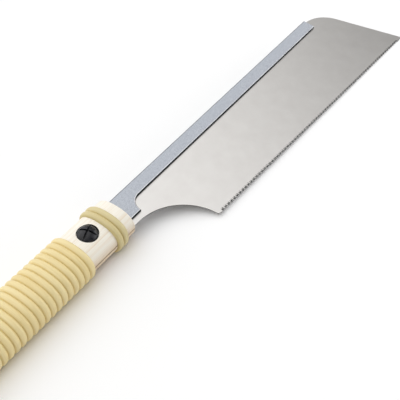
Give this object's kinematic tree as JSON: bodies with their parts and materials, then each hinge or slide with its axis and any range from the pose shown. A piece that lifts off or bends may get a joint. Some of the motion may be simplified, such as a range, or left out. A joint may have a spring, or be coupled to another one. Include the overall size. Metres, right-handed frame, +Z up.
{
  "type": "dozuki saw",
  "caption": "Japanese back saw lying on its side: thin toothed plate in a folded steel spine, held in a split oval wood handle bound with cane and closed by a screw.",
  "frame": {"origin": "on the bench the saw lies on, under the middle of its bounding box", "axes": "+X along the spine from the butt to the toe, +Y across toward the spine, +Z up; the plate is rolled about X so that the grip and the toe both touch the bench"},
  "size_m": [0.3674, 0.0482, 0.0163],
  "materials": {
    "plate_steel": "satin",
    "spine_steel": "satin, finely speckled",
    "pale_wood": "bare, sanded",
    "cane": "satin",
    "black_screw": "satin black"
  },
  "bodies": {
    "handle": {"handle_upper_half": "pale_wood", "handle_lower_half": "pale_wood", "collar_wrap": "cane", "grip_wrap_front": "cane", "grip_wrap_rear": "cane", "sleeve_nut": "black_screw"},
    "saw_plate": {"blade": "plate_steel", "spine": "spine_steel"},
    "screw": {"clamp_screw": "black_screw"}
  },
  "joints": [
    {"name": "blade_release", "type": "slide", "parent": "handle", "child": "saw_plate", "axis": [1, 0, 0], "range_m": [0, 0.035]},
    {"name": "screw_turn", "type": "hinge", "parent": "handle", "child": "screw", "pos_m": [-0.01715, 0.01383, 0.00779], "axis": [0, -0.1976, 0.9803], "range_deg": [0, 720]}
  ]
}
